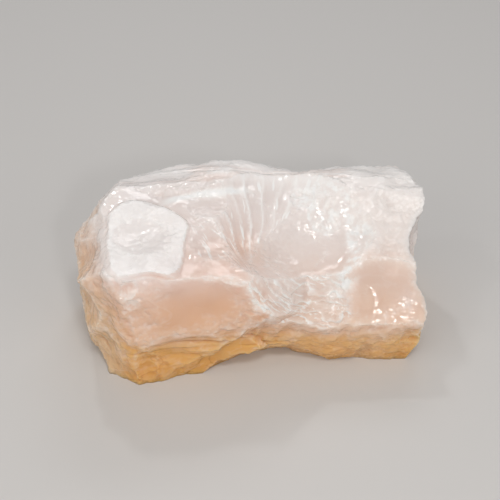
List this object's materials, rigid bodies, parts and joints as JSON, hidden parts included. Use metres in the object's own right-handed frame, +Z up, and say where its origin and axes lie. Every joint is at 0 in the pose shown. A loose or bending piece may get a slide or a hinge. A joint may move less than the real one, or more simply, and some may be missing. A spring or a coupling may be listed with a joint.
{
  "type": "rose quartz chunk",
  "caption": "Rough chunk of rose quartz, an oblong broken stone with flaked faces, sharp ridges and a flat resting face.",
  "frame": {"origin": "bottom centre of the bounding box, on the flat resting face", "axes": "+X along the stone towards its lower, scooped end; +Y to the back; +Z up from the resting face"},
  "size_m": [0.0982, 0.0538, 0.0414],
  "materials": {
    "rose_quartz": "glassy fracture"
  },
  "bodies": {
    "root": {"rose_quartz_chunk": "rose_quartz"}
  },
  "joints": []
}
